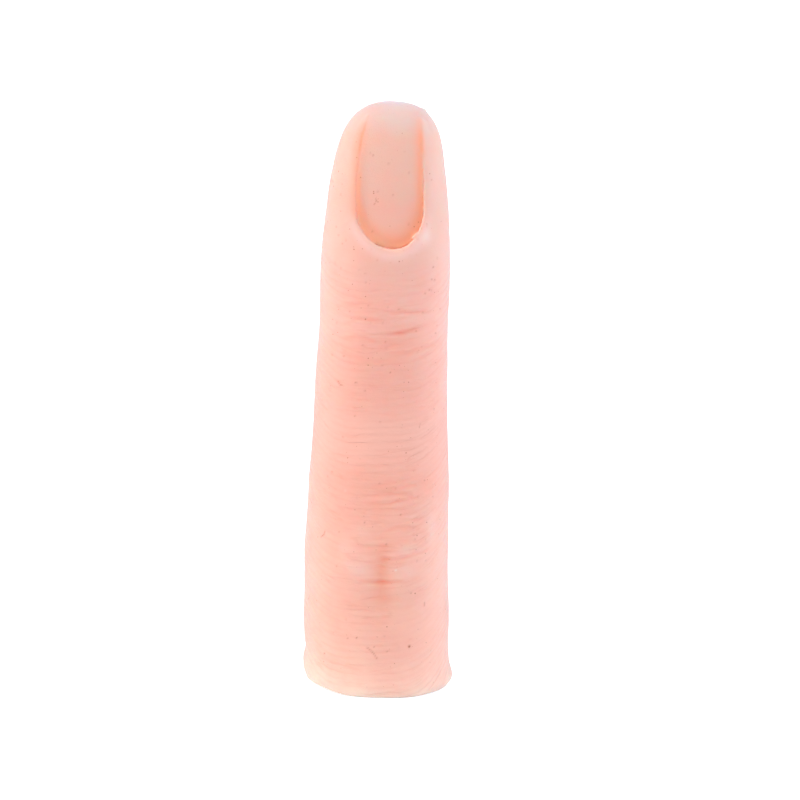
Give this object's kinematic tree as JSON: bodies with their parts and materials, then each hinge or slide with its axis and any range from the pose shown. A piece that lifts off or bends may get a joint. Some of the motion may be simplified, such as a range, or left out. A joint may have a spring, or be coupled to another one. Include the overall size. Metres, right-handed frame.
{
  "type": "practice finger",
  "caption": "Life-size silicone practice finger for nail work, with a slotted nail bed and a jointed plastic core that bends at two knuckles.",
  "frame": {"origin": "centre of the cut base, where the finger stands", "axes": "+Z along the finger from the cut base to the fingertip, -Y out of the nail side, +X to the right when the nail side is looked at with the tip up"},
  "size_m": [0.0202, 0.0178, 0.08],
  "materials": {
    "silicone": "matte skin-toned silicone",
    "core_plastic": "moulded, uncoloured",
    "steel": "machine-screw steel"
  },
  "bodies": {
    "base": {"base_bone": "core_plastic", "base_skin": "silicone", "middle_knuckle_skin": "silicone", "middle_hinge_screw": "steel", "middle_hinge_washer": "steel", "middle_hinge_nut": "steel"},
    "middle": {"middle_bone": "core_plastic", "middle_skin": "silicone", "tip_knuckle_skin": "silicone", "tip_hinge_screw": "steel", "tip_hinge_washer": "steel", "tip_hinge_nut": "steel"},
    "fingertip": {"tip_bone": "core_plastic", "fingertip_skin": "silicone"}
  },
  "joints": [
    {"name": "middle_knuckle_bend", "type": "hinge", "parent": "base", "child": "middle", "pos_m": [0, 0, 0.0195], "axis": [-1, 0, 0], "range_deg": [0, 70], "deforming": ["middle_knuckle_skin"]},
    {"name": "tip_knuckle_bend", "type": "hinge", "parent": "middle", "child": "fingertip", "pos_m": [0, 0, 0.051], "axis": [-1, 0, 0], "range_deg": [0, 50], "deforming": ["tip_knuckle_skin"]}
  ]
}
